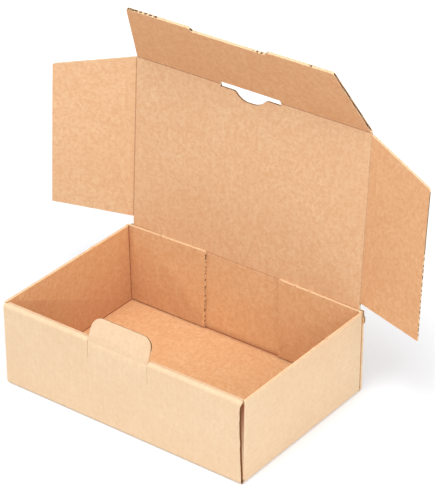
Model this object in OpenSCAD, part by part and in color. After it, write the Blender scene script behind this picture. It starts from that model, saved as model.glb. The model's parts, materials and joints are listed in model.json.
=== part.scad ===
// Die-cut corrugated mailer box, standing open.
// The tray is folded from one blank: floor, side walls, back wall with the
// side walls' corner flaps glued inside it, and a rolled-over double front
// wall that holds the other two corner flaps and carries a locking tongue.
// The lid hinges on the back wall and carries two ear flaps and a tuck flap.
// Origin: middle of the floor's underside. +X right along the front,
// +Y to the back, +Z up. Millimetres and degrees.

/* [Board] */
// Thickness of the corrugated board
board = 3; // [2.6:0.1:3.4]
// Air left between two layers that lie on each other
ply_gap = 0.2; // [0.1:0.05:0.3]
// Inner radius of a fold that stays folded
fold_r = 0.6; // [0.4:0.1:0.8]
// Half the gap at a crease that moves
crease_gap = 0.15; // [0.1:0.05:0.25]
// How far each face stands back at the end of a panel beside a moving crease
crease_chamfer = 1.9; // [1.8:0.1:2.4]
// Distance from flute to flute
flute_pitch = 6.4; // [5.5:0.1:8]
// Thickness of each of the board's two liners
liner = 0.5; // [0.3:0.05:0.6]
// Thickness of the fluted paper between the liners
medium = 0.5; // [0.3:0.05:0.6]
// Depth of the open flutes at a cut edge
flute_depth = 2.5; // [1:0.5:5]

/* [Tray] */
// Width over the side walls
tray_w = 306; // [240:1:400]
// Depth over the front and back walls
tray_d = 211; // [170:1:280]
// Height of the side walls
side_h = 96; // [80:1:120]
// How much higher the front wall is than the side walls
front_rise = 0.5; // [0:0.5:2]
// How much higher the lid's crease is than the side walls
crease_rise = 3.6; // [3:0.2:5]
// How far the front wall's cut ends stay inside the side walls' outer faces
front_inset = 1; // [0.5:0.5:2]
// How far the back wall's cut ends stand out past the side walls
back_proud = 1.2; // [0:0.2:2]

/* [Corner flaps] */
// Length of a corner flap, from the tray's outer corner
flap_l = 104; // [70:1:110]
// Height of a corner flap's lower edge over the floor
flap_lift = 2.5; // [1:0.5:5]
// How far a back flap's free end stays under the lid's crease
flap_top_gap = 0.4; // [0.3:0.1:1]
// How much a back flap's top edge falls from its free end to the corner
flap_top_fall = 2; // [0:0.5:3]

/* [Tongue] */
// Width of the locking tongue
tongue_w = 77; // [60:1:90]
// Length of the tongue over the front wall's top edge
tongue_l = 28; // [22:1:32]
// Radius of the tongue's corners
tongue_r = 12; // [6:1:14]
// How far the tongue leans back
tongue_lean = 26; // [24:0.5:27]
// Radius of the gentle bend at the tongue's root
tongue_bend_r = 22; // [16:1:28]
// Length of the slits beside the tongue, below the front wall's top edge
slit_l = 20; // [12:1:26]
// Width of each slit
slit_w = 0.7; // [0.4:0.1:1]

/* [Lid] */
// Angle of the lid from closed
lid_open = 93.5; // [60:0.5:120]
// Play between the folded tuck flap and the front wall
tuck_play = 1.1; // [0.6:0.1:3]
// Play between a folded ear flap and its side wall
ear_play = 0.3; // [0.2:0.1:1]

/* [Slot] */
// Play between the tongue's edge and the slot's end
slot_play = 0.7; // [0.4:0.1:2]
// Width of the slot on the lid's side of the crease
slot_lid = 3.4; // [3:0.2:5]
// Width of the slot on the tuck flap's side of the crease
slot_tuck = 6.8; // [6.6:0.2:8]
// Width of the finger notch in the lid
notch_w = 39; // [30:1:50]
// Depth of the finger notch, from the crease
notch_d = 12; // [8:1:16]
// Radius of the notch's two inner corners
notch_r = 8; // [5:1:10]
// Radius where the notch runs out into the slot
notch_run_r = 4; // [2:1:6]
// Radius of the slot's corners
slot_r = 1; // [0.5:0.5:1.5]

/* [Ear flaps] */
// Fold of the left ear flap from flat
left_ear_fold = 18.7; // [0:0.1:40]
// Fold of the right ear flap from flat
right_ear_fold = 19.6; // [0:0.1:40]
// Gap left under a folded ear flap, over the floor
ear_floor_gap = 3.1; // [2:0.1:10]
// How much the ear's front edge slants back
ear_front_taper = 20; // [10:1:30]
// How much the ear's back edge slants forward
ear_back_taper = 2; // [0:1:10]
// Distance of the ear from the tuck flap's crease
ear_front_gap = 2.5; // [2:0.5:6]
// Distance of the ear from the lid's crease
ear_back_gap = 6; // [5:0.5:12]
// Radius of the ear's free corners
ear_r = 2; // [1:0.5:6]

/* [Tuck flap] */
// Length of the tuck flap
tuck_l = 85; // [60:1:88]
// Fold of the tuck flap from flat
tuck_fold = 32.4; // [0:0.1:50]
// How much each side of the tuck flap slants in
tuck_taper = 20; // [10:1:30]
// Distance of the tuck flap's sides from the ears' creases
tuck_side_gap = 1; // [0.5:0.5:3]
// Radius of the tuck flap's free corners
tuck_r = 5; // [2:1:12]
// Width of the shallow recess in the free edge
recess_w = 90; // [60:1:110]
// Depth of that recess
recess_d = 4.5; // [2:0.5:8]
// Width of each slanted shoulder of the recess
recess_shoulder = 4; // [2:1:8]
// Radius of the recess's corners
recess_r = 2; // [1:0.5:3]

/* [Hidden] */

kraft_outside = "#F2D2AC";
kraft_inside = "#E3AC78";

// Straight steps that make up a rounded corner
arc_steps = 5;
// Amount by which a cutting body passes the face it cuts
over = 1;

// Radii of a finished fold on the board's middle and outer face
fold_mid_r = fold_r + board / 2;
fold_out_r = fold_r + board;

// One layer of board with the air beside it
ply = board + ply_gap;

front_h = side_h + front_rise;
crease_h = side_h + crease_rise;
crease_y = tray_d / 2 - board;

// Middle lines of the upright layers, seen from above
front_outer_y = -tray_d / 2 + board / 2;
front_flap_y = front_outer_y + ply;
front_inner_y = front_flap_y + ply;
front_inner_face_y = front_inner_y + board / 2;
back_wall_y = tray_d / 2 - board / 2;
back_flap_y = back_wall_y - ply;
side_x = tray_w / 2 - board / 2;
flap_end_x = tray_w / 2 - flap_l;

// Lid panel, from crease to crease
lid_w = tray_w - 3 * board - 2 * ear_play;
lid_l = crease_y - front_inner_face_y - board / 2 - tuck_play;
ear_l = crease_h - board / 2 - ear_floor_gap;

// Plane geometry
function unit(v) = v / norm(v);
function left_of(v) = [-v[1], v[0]];
function reversed(list) = [for (i = [len(list) - 1:-1:0]) list[i]];

// Points that round the corner b between a and c with radius r
function corner(a, b, c, r) =
    r <= 0 ? [b] :
    let (
        u = unit(a - b),
        v = unit(c - b),
        half = acos(u * v) / 2,
        centre = b + unit(u + v) * r / sin(half),
        from = b + u * r / tan(half) - centre,
        to = b + v * r / tan(half) - centre,
        start = atan2(from[1], from[0]),
        sweep = atan2(from[0] * to[1] - from[1] * to[0], from * to)
    )
    [for (i = [0:arc_steps])
        let (angle = start + sweep * i / arc_steps)
        centre + r * [cos(angle), sin(angle)]];

// Closed outline p with corner i rounded by r[i]
function rounded(p, r) =
    let (n = len(p))
    [for (i = [0:n - 1])
        each corner(p[(i + n - 1) % n], p[i], p[(i + 1) % n], r[i])];

// Corners of the path p moved s to its left
function moved_left(p, s) =
    [for (i = [0:len(p) - 1])
        let (
            a = left_of(unit(i > 0 ? p[i] - p[i - 1] : p[1] - p[0])),
            b = left_of(unit(i < len(p) - 1 ? p[i + 1] - p[i] : p[i] - p[i - 1]))
        )
        p[i] + s * (a + b) / (1 + a * b)];

// Radii of the path's corners on the side s to its left
function side_radii(p, r, s) =
    [for (i = [0:len(p) - 1])
        i == 0 || i == len(p) - 1 ? 0 :
        let (
            a = p[i] - p[i - 1],
            b = p[i + 1] - p[i],
            turn = sign(a[0] * b[1] - a[1] * b[0])
        )
        r - turn * s];

// Section of a board that follows the path p along its middle
module folded(p, r = fold_mid_r) {
    half = board / 2;
    polygon(rounded(
        concat(moved_left(p, half), reversed(moved_left(p, -half))),
        concat(side_radii(p, r, half), reversed(side_radii(p, r, -half)))
    ));
}

// A drawing in Y and Z, drawn out along X
module along_x(width) {
    rotate([90, 0, 90])
        linear_extrude(width, center = true)
            children();
}

// A drawing in X and Z, drawn out along Y
module along_y(depth) {
    rotate([90, 0, 0])
        linear_extrude(depth, center = true)
            children();
}

// Section through one flute, with the two hollows beside the fluted paper:
// X across the flutes, Y through the board from its middle
module flute_hollows() {
    core = board / 2 - liner;
    narrow = flute_pitch / 5;
    wide = flute_pitch - narrow - 3 * medium;
    for (turn = [0, 180])
        rotate(turn)
            translate([flute_pitch / 4, 0])
                polygon([
                    [-wide / 2, core],
                    [-narrow / 2, medium - core],
                    [narrow / 2, medium - core],
                    [wide / 2, core]
                ]);
}

// Middles of the flutes that end in an edge between from and to
function flute_places(from, to) =
    let (
        count = floor((to - from) / flute_pitch),
        first = (from + to - (count - 1) * flute_pitch) / 2
    )
    [for (i = [0:1:count - 1]) first + i * flute_pitch];

// Open end of the flute at x, in a flat panel whose flutes run along Y
module open_flute(x, edge) {
    translate([x, edge, -board / 2])
        along_y(2 * flute_depth)
            flute_hollows();
}

// Floor, with the folds that turn up into the front and back walls
module floor_panel() {
    translate([0, 0, board / 2])
        cube([tray_w - 2 * fold_out_r, tray_d - 2 * fold_out_r, board], center = true);
}

// Outer layer, top and inner layer of the front wall. The top and the inner
// layer fit between the side walls.
module front_wall() {
    end_x = tray_w / 2 - board - ply_gap;
    end_l = board + ply_gap;
    difference() {
        along_x(tray_w - 2 * front_inset)
            folded([
                [-tray_d / 2 + fold_out_r, board / 2],
                [front_outer_y, board / 2],
                [front_outer_y, front_h - board / 2],
                [front_inner_y, front_h - board / 2],
                [front_inner_y, board + ply_gap]
            ]);
        for (end = [0, 1])
            mirror([end, 0, 0])
                translate([end_x, -tray_d / 2 + board, fold_out_r])
                    cube([end_l, 2 * ply + over, front_h]);
    }
}

// What the tongue and its slits take out of the front wall
module tongue_opening() {
    width = tongue_w + 2 * slit_w;
    inner_depth = tongue_l - 2 * ply;
    slit_bottom = front_h - slit_l;
    translate([-width / 2, -tray_d / 2 - over, slit_bottom])
        cube([width, board + 2 * over, slit_l + over]);
    translate([0, front_inner_y, 0])
        along_y(board + 2 * ply)
            polygon(rounded(
                [
                    [-width / 2, front_h + over],
                    [-width / 2, front_h - inner_depth],
                    [width / 2, front_h - inner_depth],
                    [width / 2, front_h + over]
                ],
                [0, tongue_r, tongue_r, 0]
            ));
}

// Locking tongue: the outer layer runs on upwards and leans back
module tongue() {
    root = front_h - slit_l - over;
    bend_l = tongue_bend_r * tan(tongue_lean / 2);
    along_x(tongue_w)
        folded(
            [
                [front_outer_y, root],
                [front_outer_y, front_h - board / 2],
                [
                    front_outer_y + (bend_l + over) * sin(tongue_lean),
                    front_h - board / 2 + (bend_l + over) * cos(tongue_lean)
                ]
            ],
            tongue_bend_r
        );
    translate([0, front_outer_y, front_h - board / 2])
        rotate([-tongue_lean, 0, 0])
            along_y(board)
                polygon(rounded(
                    [
                        [-tongue_w / 2, bend_l],
                        [tongue_w / 2, bend_l],
                        [tongue_w / 2, tongue_l + board / 2],
                        [-tongue_w / 2, tongue_l + board / 2]
                    ],
                    [0, 0, tongue_r, tongue_r]
                ));
}

// Back wall, bevelled behind the lid's crease
module back_wall() {
    difference() {
        along_x(tray_w + 2 * back_proud)
            folded([
                [tray_d / 2 - fold_out_r, board / 2],
                [back_wall_y, board / 2],
                [back_wall_y, crease_h - crease_gap]
            ]);
        along_x(tray_w + 2 * back_proud + 2 * over)
            polygon([
                [crease_y, crease_h - crease_gap],
                [crease_y + board + over, crease_h - crease_gap - board - over],
                [crease_y + board + over, crease_h + over],
                [crease_y, crease_h + over]
            ]);
    }
}

// Right side wall with its two corner flaps
module side_wall() {
    flap_foot = board + flap_lift;
    flap_top = crease_h - flap_top_gap;
    front_flap_top = front_h - ply;
    // Fold to the floor
    along_y(tray_d - 2 * fold_out_r)
        folded([
            [tray_w / 2 - fold_out_r, board / 2],
            [side_x, board / 2],
            [side_x, fold_out_r]
        ]);
    difference() {
        translate([0, 0, fold_out_r])
            linear_extrude(flap_top - fold_out_r)
                folded([
                    [flap_end_x, front_flap_y],
                    [side_x, front_flap_y],
                    [side_x, back_flap_y],
                    [flap_end_x, back_flap_y]
                ]);
        // Side wall's top edge and the front flap's
        translate([flap_end_x - over, -tray_d / 2, side_h])
            cube([flap_l + 2 * over, tray_d - 2 * board - ply_gap - fold_r, flap_top]);
        translate([flap_end_x - over, -tray_d / 2, front_flap_top])
            cube([flap_l + over - board, 2 * ply + fold_r, flap_top]);
        // Lower edges of both flaps
        translate([flap_end_x - over, -tray_d / 2, 0])
            cube([flap_l - fold_out_r + over, tray_d, flap_foot]);
        // Back flap's slanting top edge
        along_y(tray_d)
            polygon([
                [flap_end_x - over, flap_top],
                [tray_w / 2 + over, flap_top - flap_top_fall],
                [tray_w / 2 + over, flap_top + over],
                [flap_end_x - over, flap_top + over]
            ]);
    }
}

module tray() {
    color(kraft_outside) {
        floor_panel();
        difference() {
            front_wall();
            tongue_opening();
        }
        tongue();
        back_wall();
        side_wall();
        mirror([1, 0, 0]) side_wall();
    }
}

// Places what is drawn in the lid's own flat frame: X across, Y away from
// the lid's crease, Z into the box. The board lies below Z = 0.
module on_lid() {
    translate([0, crease_y, crease_h])
        rotate([180 - lid_open, 0, 0])
            children();
}

// A panel's end beside a crease on the board's middle: the section's points,
// with the crease at 0 and the panel running on to reach
function pointed_end(reach) = [
    [reach, 0],
    [crease_gap + crease_chamfer, 0],
    [crease_gap, -board / 2],
    [crease_gap + crease_chamfer, -board],
    [reach, -board]
];

// Slot for the tongue with its finger notch, in the lid's frame
module slot() {
    half = tongue_w / 2 + slot_play;
    notch_flare = notch_w / 5;
    translate([0, 0, -board - over])
        linear_extrude(board + 2 * over)
            polygon(rounded(
                [
                    [-half, lid_l + over],
                    [-half, lid_l - slot_lid],
                    [-notch_w / 2, lid_l - slot_lid],
                    [-notch_w / 2 + notch_flare, lid_l - notch_d],
                    [notch_w / 2 - notch_flare, lid_l - notch_d],
                    [notch_w / 2, lid_l - slot_lid],
                    [half, lid_l - slot_lid],
                    [half, lid_l + over]
                ],
                [0, slot_r, notch_run_r, notch_r, notch_r, notch_run_r, slot_r, 0]
            ));
}

module lid() {
    color(kraft_inside)
        on_lid()
            difference() {
                intersection() {
                    // Section from the back crease to the tuck flap's crease
                    along_x(lid_w)
                        polygon([
                            [crease_gap, 0],
                            [crease_gap + board, -board],
                            [lid_l - crease_gap - crease_chamfer, -board],
                            [lid_l - crease_gap, -board / 2],
                            [lid_l - crease_gap - crease_chamfer, 0]
                        ]);
                    // Section between the ears' creases
                    translate([0, lid_l / 2, 0])
                        along_y(lid_l + 2 * over)
                            polygon([
                                [-lid_w / 2 + crease_gap + crease_chamfer, 0],
                                [-lid_w / 2 + crease_gap, -board / 2],
                                [-lid_w / 2 + crease_gap + crease_chamfer, -board],
                                [lid_w / 2 - crease_gap - crease_chamfer, -board],
                                [lid_w / 2 - crease_gap, -board / 2],
                                [lid_w / 2 - crease_gap - crease_chamfer, 0]
                            ]);
                }
                slot();
            }
}

// Back and front edges of an ear flap at the distance x from its crease
function ear_back(x) = ear_back_gap + ear_back_taper * x / ear_l;
function ear_front(x) = lid_l - ear_front_gap - ear_front_taper * x / ear_l;

// Right ear flap, folded in by angle
module ear_flap(angle) {
    on_lid()
        translate([lid_w / 2, 0, -board / 2])
            rotate([0, -angle, 0])
                translate([0, 0, board / 2])
                    difference() {
                        intersection() {
                            translate([0, 0, -board])
                                linear_extrude(board)
                                    polygon(rounded(
                                        [
                                            [0, ear_back(0)],
                                            [ear_l, ear_back(ear_l)],
                                            [ear_l, ear_front(ear_l)],
                                            [0, ear_front(0)]
                                        ],
                                        [0, ear_r, ear_r, 0]
                                    ));
                            translate([0, lid_l / 2, 0])
                                along_y(lid_l)
                                    polygon(pointed_end(ear_l + over));
                        }
                        for (x = flute_places(2 * crease_chamfer, ear_l - ear_r)) {
                            open_flute(x, ear_back(x));
                            open_flute(x, ear_front(x));
                        }
                    }
}

module left_ear_flap() {
    color(kraft_inside) mirror([1, 0, 0]) ear_flap(left_ear_fold);
}

module right_ear_flap() {
    color(kraft_inside) ear_flap(right_ear_fold);
}

// Outline of the tuck flap, with its crease along the first axis
module tuck_outline() {
    root = lid_w / 2 - tuck_side_gap;
    tip = root - tuck_taper;
    recess = recess_w / 2;
    slot_half = tongue_w / 2 + slot_play;
    polygon(rounded(
        [
            [-root, 0],
            [-slot_half, 0],
            [-slot_half, slot_tuck],
            [slot_half, slot_tuck],
            [slot_half, 0],
            [root, 0],
            [tip, tuck_l],
            [recess + recess_shoulder, tuck_l],
            [recess, tuck_l - recess_d],
            [-recess, tuck_l - recess_d],
            [-recess - recess_shoulder, tuck_l],
            [-tip, tuck_l]
        ],
        [
            0, 0, slot_r, slot_r, 0, 0,
            tuck_r, recess_r, recess_r, recess_r, recess_r, tuck_r
        ]
    ));
}

// Open flutes in the tuck flap's free edge, on both sides of the recess and in it
module tuck_flutes() {
    recess = recess_w / 2;
    tip = lid_w / 2 - tuck_side_gap - tuck_taper;
    for (x = flute_places(recess_r - recess, recess - recess_r))
        open_flute(x, tuck_l - recess_d);
    for (x = flute_places(recess + recess_shoulder + recess_r, tip - tuck_r))
        for (side = [-1, 1])
            open_flute(side * x, tuck_l);
}

module tuck_flap() {
    color(kraft_inside)
        on_lid()
            translate([0, lid_l, -board / 2])
                rotate([tuck_fold, 0, 0])
                    translate([0, 0, board / 2])
                        difference() {
                            intersection() {
                                translate([0, 0, -board])
                                    linear_extrude(board)
                                        tuck_outline();
                                along_x(lid_w)
                                    polygon(pointed_end(tuck_l + over));
                            }
                            tuck_flutes();
                        }
}

tray();
lid();
left_ear_flap();
right_ear_flap();
tuck_flap();
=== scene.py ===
"""Open mailer box of brown corrugated board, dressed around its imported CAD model.

Every panel is cut flat from real corrugated board, with two liners and a fluted medium
between them, and is then folded to its place. Lengths are in metres.
"""
import json
import math
import random

import bmesh
import bpy
from mathutils import Matrix, Vector


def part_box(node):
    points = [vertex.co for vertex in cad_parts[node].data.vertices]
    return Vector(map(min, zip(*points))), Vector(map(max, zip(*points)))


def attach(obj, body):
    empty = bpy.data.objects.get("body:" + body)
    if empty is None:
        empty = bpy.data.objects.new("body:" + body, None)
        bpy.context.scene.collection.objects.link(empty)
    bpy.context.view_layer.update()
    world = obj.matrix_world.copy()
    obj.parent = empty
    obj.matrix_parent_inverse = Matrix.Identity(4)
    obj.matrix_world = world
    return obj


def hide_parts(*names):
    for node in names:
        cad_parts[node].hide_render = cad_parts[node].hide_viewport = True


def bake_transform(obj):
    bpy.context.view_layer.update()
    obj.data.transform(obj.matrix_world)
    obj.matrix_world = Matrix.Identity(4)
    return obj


bl_info = {
    "name": "Corrugated mailer box",
    "version": (1, 0, 0),
    "blender": (4, 5, 0),
    "location": "View3D > Sidebar > Mailer box",
    "description": "Cuts, folds and finishes an open mailer box of corrugated board",
    "category": "Add Mesh",
}

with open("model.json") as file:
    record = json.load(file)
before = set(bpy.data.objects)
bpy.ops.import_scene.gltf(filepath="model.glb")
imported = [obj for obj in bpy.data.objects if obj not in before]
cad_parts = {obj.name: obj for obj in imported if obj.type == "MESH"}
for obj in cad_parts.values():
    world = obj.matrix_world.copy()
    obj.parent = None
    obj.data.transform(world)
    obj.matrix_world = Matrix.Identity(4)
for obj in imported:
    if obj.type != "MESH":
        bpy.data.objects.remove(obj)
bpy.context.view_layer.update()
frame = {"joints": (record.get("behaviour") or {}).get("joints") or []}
HINGES = {joint["name"]: joint for joint in frame["joints"]}

MM = 0.001
HALF_BOARD = 1.5 * MM

# What the CAD says, read back from the frame
TRAY_LOW, TRAY_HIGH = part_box("tray")
LID_CREASE = Vector(HINGES["lid_hinge"]["pos_m"])
EAR_CREASE = Vector(HINGES["right_ear_hinge"]["pos_m"])
TUCK_CREASE = Vector(HINGES["tuck_hinge"]["pos_m"])
ACROSS = Vector((1, 0, 0))
LID_UP = -Vector(HINGES["right_ear_hinge"]["axis"]).normalized()
LID_IN = ACROSS.cross(LID_UP)
HALF_LID = EAR_CREASE.x
LID_LONG = (TUCK_CREASE - EAR_CREASE).dot(LID_UP)
LEFT_FOLD = math.radians(-HINGES["left_ear_hinge"]["range_deg"][0])
RIGHT_FOLD = math.radians(-HINGES["right_ear_hinge"]["range_deg"][0])
TUCK_FOLD = math.radians(-HINGES["tuck_hinge"]["range_deg"][0])

# Sizes of the blank that the CAD also uses
SIDE_TOP = 96 * MM
FRONT_TOP = 96.5 * MM
FRONT_HALF = 152 * MM
BACK_HALF = TRAY_HIGH.x
WALL_X = 151.5 * MM
FRONT_Y = TRAY_LOW.y + HALF_BOARD
BACK_Y = 104 * MM
FLAP_END = 49 * MM
FLAP_FOOT = 4.5 * MM
BACK_FLAP_TOP = 99.2 * MM
BACK_FLAP_FALL = 2 * MM
TONGUE_HALF = 37.8 * MM
TONGUE_LONG = 28 * MM
TONGUE_ROUND = 12 * MM
TONGUE_LEAN = math.radians(26)
TONGUE_BEND = 40 * MM
# The pressed tongue stands a little to the left, and reaches this far over the fold
TONGUE_SHIFT = -1.9 * MM
TONGUE_REACH = 25.7 * MM
SLIT_LONG = 23.5 * MM
SLIT_WIDE = 0.35 * MM
SLOT_HALF = 38.2 * MM
SLOT_IN_LID = 3.4 * MM
SLOT_IN_TUCK = 5 * MM
# Depth of board that the steel rule crushes along a cut, and the height of a nick's tuft
CRUSH = 1.5 * MM
NICK = 0.9 * MM
# Most that the front wall's right end is torn back, in millimetres
TORN_BACK = 2.4
EAR_LONG = 95 * MM
TUCK_LONG = 85 * MM

# Where each ear starts and ends along its crease, for the left and the right ear
EAR_SPAN = {-1: (8.5 * MM, LID_LONG - 1.2 * MM), 1: (6 * MM, LID_LONG - 2.5 * MM)}
EAR_TIP = {-1: (9.3 * MM, LID_LONG - 24.5 * MM), 1: (8 * MM, LID_LONG - 22.5 * MM)}

# Pieces that bend at a moving crease reach this far to each side of it
LID_CREASE_REACH = 3 * MM
FLAP_CREASE_REACH = 2 * MM

# Slots of the four finishes on each board
OUTER, INNER, MEDIUM, CUT_EDGE = range(4)
# Warmer copy of the inner liner for inside the tray: painted shade
TRAY_SHADED_LINER = "kraft_inner_liner_shaded_in_tray"
# Browner copy of the inner liner for the tuck flap and the right ear: painted shade
FLAP_SHADED_LINER = "kraft_inner_liner_shaded_flaps"
FLAT = "flat_mm"
# Point attribute of painted shade: darkening along creases, in the gap at the front's right end,
# and a little on the roll-over's top and the tongue
CREASE_SHADE = "crease"


class BoardSettings(bpy.types.PropertyGroup):
    """Sizes of the corrugated board and its finishes"""

    thickness: bpy.props.FloatProperty(
        name="Thickness", description="Thickness of the board over both liners",
        default=2 * HALF_BOARD, unit="LENGTH")
    liner: bpy.props.FloatProperty(
        name="Liner", description="Thickness of each liner",
        default=0.4 * MM, unit="LENGTH")
    medium: bpy.props.FloatProperty(
        name="Medium", description="Thickness of the fluted paper",
        default=0.3 * MM, unit="LENGTH")
    pitch: bpy.props.FloatProperty(
        name="Flute pitch", description="Distance from flute to flute of B-flute board",
        default=6.4 * MM, unit="LENGTH")
    fold: bpy.props.FloatProperty(
        name="Fold radius", description="Radius of a fold on the board's middle",
        default=2.1 * MM, unit="LENGTH")
    layer_gap: bpy.props.FloatProperty(
        name="Layer gap", description="Air between two layers that lie on each other",
        default=0.2 * MM, unit="LENGTH")
    roughness: bpy.props.FloatProperty(
        name="Cut roughness", description="How far a die-cut edge wanders",
        default=0.16 * MM, unit="LENGTH")


class PaperSettings(bpy.types.PropertyGroup):
    """Colours of the papers"""

    outer: bpy.props.StringProperty(
        name="Outer liner", description="Colour of the outer liner, as sRGB hex",
        default="EDD0AC")
    inner: bpy.props.StringProperty(
        name="Inner liner", description="Colour of the inner liner, as sRGB hex",
        default="EAC69D")
    # A warmer, more saturated copy of the inner liner: painted shade inside the tray
    tray: bpy.props.StringProperty(
        name="Inner liner in the tray", description="Colour inside the tray, as sRGB hex",
        default="ECC698")
    # A browner copy of the inner liner: painted shade on the tuck flap and the right ear
    flaps: bpy.props.StringProperty(
        name="Inner liner of the flaps", description="Colour of the tuck flap and right ear, "
        "from a browner part of the roll, as sRGB hex",
        default="EABC8E")
    # The medium's own brown, darkened further to paint the shade in hollows such as the gap at the
    # front's right end
    medium: bpy.props.StringProperty(
        name="Medium", description="Colour of the fluted paper, as sRGB hex",
        default="A9774A")
    edge: bpy.props.StringProperty(
        name="Cut edge", description="Colour of the crushed fibres on a cut edge, as sRGB hex",
        default="F4D6AE")


class StageSettings(bpy.types.PropertyGroup):
    """Camera, light and floor"""

    azimuth: bpy.props.FloatProperty(
        name="Azimuth", description="Turn of the camera about the vertical",
        default=math.radians(37.0247), subtype="ANGLE")
    elevation: bpy.props.FloatProperty(
        name="Elevation", description="Angle of the camera over the floor",
        default=math.radians(30.0022), subtype="ANGLE")
    roll: bpy.props.FloatProperty(
        name="Roll", description="Turn of the camera about its own line of sight",
        default=math.radians(0.1019), subtype="ANGLE")
    place: bpy.props.FloatVectorProperty(
        name="Place", description="Where the camera stands",
        default=(1.2203183, -1.5594752, 1.3103345), subtype="XYZ", unit="LENGTH")
    lens: bpy.props.FloatProperty(
        name="Lens", description="Focal length on a 36 mm high sensor, in millimetres",
        default=164.952)
    world: bpy.props.FloatProperty(
        name="World", description="Strength of the even light from all round",
        default=0.62)
    key: bpy.props.FloatProperty(
        name="Key light", description="Power of the large lamp over the camera, in watts",
        default=15.0)
    side: bpy.props.FloatProperty(
        name="Side light", description="Power of the lamp to the right, in watts",
        default=18.0)
    top: bpy.props.FloatProperty(
        name="Top light", description="Power of the large lamp overhead, in watts",
        default=22.0)


def paint(hex_code):
    """Turns an sRGB hex colour into the linear RGBA that shaders read"""
    channels = [int(hex_code[i:i + 2], 16) / 255 for i in (0, 2, 4)]
    linear = [c / 12.92 if c <= 0.04045 else ((c + 0.055) / 1.055) ** 2.4 for c in channels]
    return (*linear, 1.0)


def tinted(hex_code, factor):
    """The same paper darker and redder, or lighter and paler: kraft loses blue first"""
    powers = {0: 0.4, 2: 1.0, 4: 1.35}
    channels = [min(255, round(int(hex_code[i:i + 2], 16) * factor ** power))
                for i, power in powers.items()]
    return "%02X%02X%02X" % tuple(channels)


def add(tree, kind, inputs=None, **settings):
    """Adds a node, sets it, and fills or links its inputs"""
    node = tree.nodes.new(kind)
    for name, value in settings.items():
        setattr(node, name, value)
    for key, value in (inputs or {}).items():
        if isinstance(value, bpy.types.NodeSocket):
            tree.links.new(value, node.inputs[key])
        else:
            node.inputs[key].default_value = value
    return node


def blank_tree(owner):
    """Turns on the nodes of a material or world and gives its emptied tree"""
    owner.use_nodes = True
    owner.node_tree.nodes.clear()
    return owner.node_tree


def noise(tree, place, scale, detail, roughness, distortion=0.0):
    node = add(tree, "ShaderNodeTexNoise", {
        "Vector": place, "Scale": scale, "Detail": detail, "Roughness": roughness,
        "Distortion": distortion})
    return node.outputs["Fac"]


def ranged(tree, value, low, high, to_low=0.0, to_high=1.0):
    """Stretches a value from one range to another"""
    node = add(tree, "ShaderNodeMapRange", {
        "Value": value, "From Min": low, "From Max": high, "To Min": to_low, "To Max": to_high})
    return node.outputs[0]


def maths(tree, operation, *values):
    node = add(tree, "ShaderNodeMath", dict(enumerate(values)), operation=operation)
    return node.outputs[0]


def toned(tree, factor, under, over):
    """Mixes a paper colour over another tone"""
    node = add(tree, "ShaderNodeMix", {0: factor, 6: under, 7: paint(over)}, data_type="RGBA",
               clamp_factor=True)
    return node.outputs[2]


def seen_directly(tree):
    """1 where the camera sees a thing straight, mirrored or through another, 0 for light"""
    ray = add(tree, "ShaderNodeLightPath").outputs
    seen = maths(tree, "MAXIMUM", ray["Is Camera Ray"], ray["Is Glossy Ray"])
    return maths(tree, "MAXIMUM", seen, ray["Is Transmission Ray"])


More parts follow.
